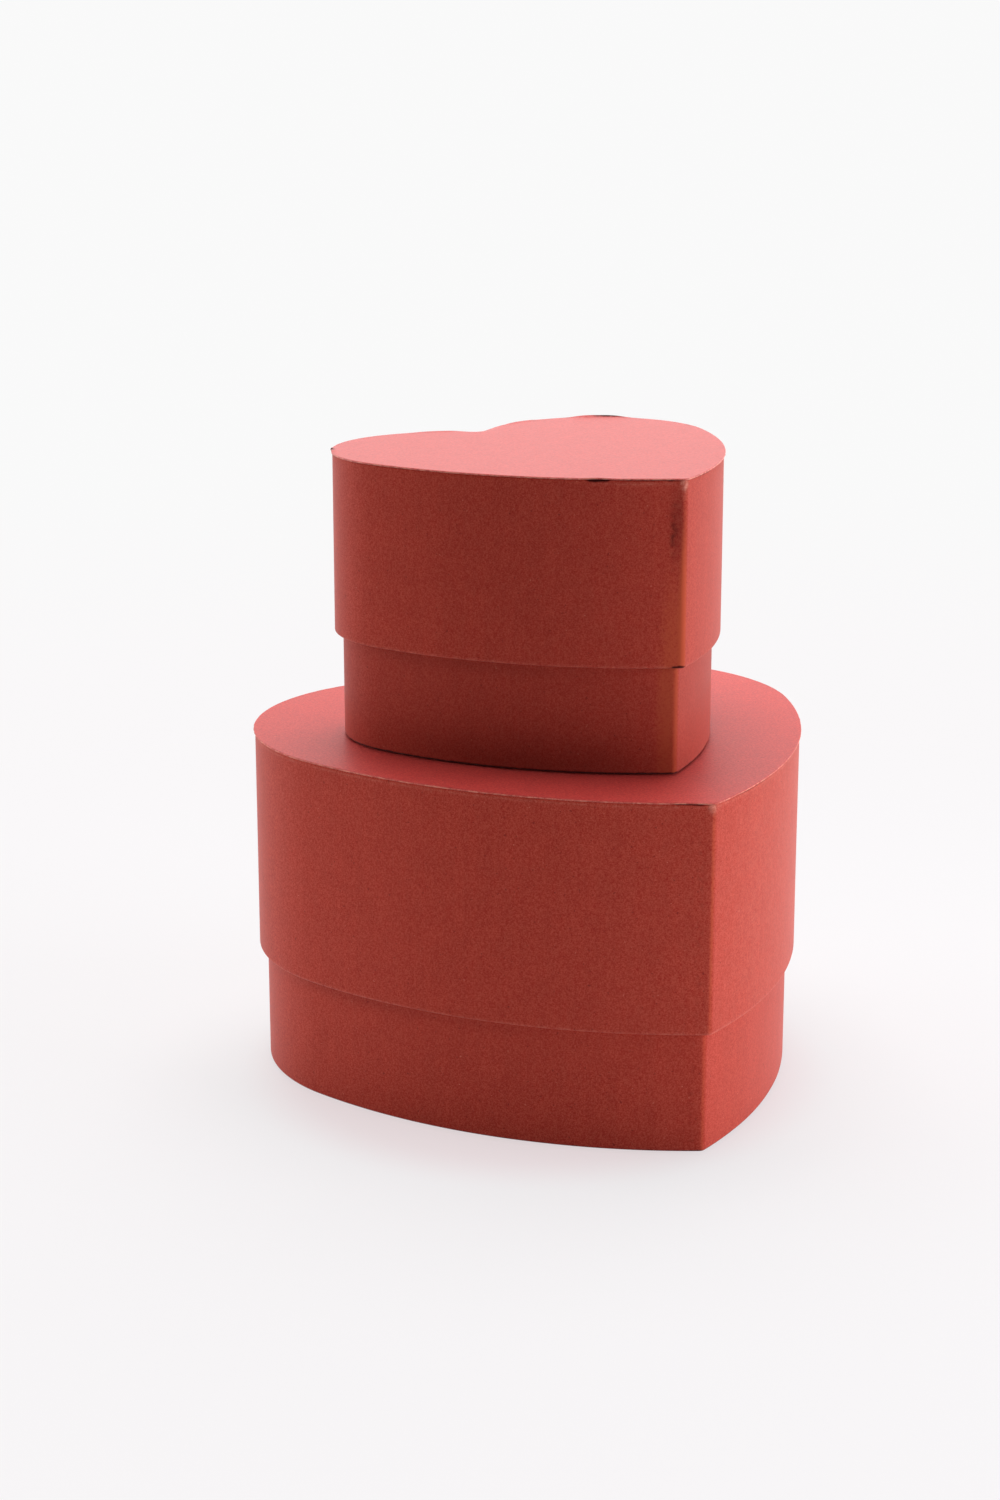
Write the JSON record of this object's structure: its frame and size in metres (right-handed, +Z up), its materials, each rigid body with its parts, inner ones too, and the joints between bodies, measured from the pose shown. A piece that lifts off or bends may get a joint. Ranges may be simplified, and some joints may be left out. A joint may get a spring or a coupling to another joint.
{
  "type": "heart-shaped gift box set",
  "caption": "Stacked heart-shaped rigid paperboard gift boxes, a small one on a larger one, each with a deep lift-off lid and covered in red fibre-flecked paper.",
  "frame": {"origin": "centre of the large box's footprint, on the surface that it stands on", "axes": "+Z up; the point of the large heart is towards -Y and its two lobes towards +Y"},
  "size_m": [0.2216, 0.2198, 0.2453],
  "materials": {
    "red_wrap_paper": "matte",
    "red_top_card": "matte",
    "grey_board": "matte",
    "lining_paper": "matte",
    "seam_tape": "matte",
    "bottom_paper": "matte"
  },
  "bodies": {
    "large_base": {"large_base_floor_board": "grey_board", "large_base_floor_lining": "lining_paper", "large_base_wall_band": "grey_board", "large_base_wall_lining": "lining_paper", "large_base_seam_tape": "seam_tape", "large_base_wrap": "red_wrap_paper", "large_base_bottom_sheet": "bottom_paper"},
    "large_lid": {"large_lid_top_board": "grey_board", "large_lid_top_lining": "lining_paper", "large_lid_wall_band": "grey_board", "large_lid_wall_lining": "lining_paper", "large_lid_seam_tape": "seam_tape", "large_lid_wrap": "red_wrap_paper", "large_lid_top_sheet": "red_top_card"},
    "small_base": {"small_base_floor_board": "grey_board", "small_base_floor_lining": "lining_paper", "small_base_wall_band": "grey_board", "small_base_wall_lining": "lining_paper", "small_base_seam_tape": "seam_tape", "small_base_wrap": "red_wrap_paper", "small_base_bottom_sheet": "bottom_paper"},
    "small_lid": {"small_lid_top_board": "grey_board", "small_lid_top_lining": "lining_paper", "small_lid_wall_band": "grey_board", "small_lid_wall_lining": "lining_paper", "small_lid_seam_tape": "seam_tape", "small_lid_wrap": "red_wrap_paper", "small_lid_top_sheet": "red_top_card"}
  },
  "joints": [
    {"name": "large_lid_lift", "type": "slide", "parent": "large_base", "child": "large_lid", "axis": [0, 0, 1], "range_m": [0, 0.1]},
    {"name": "small_box_lift", "type": "slide", "parent": "large_lid", "child": "small_base", "axis": [0, 0, 1], "range_m": [0, 0.06]},
    {"name": "small_lid_lift", "type": "slide", "parent": "small_base", "child": "small_lid", "axis": [0, 0, 1], "range_m": [0, 0.08]}
  ]
}
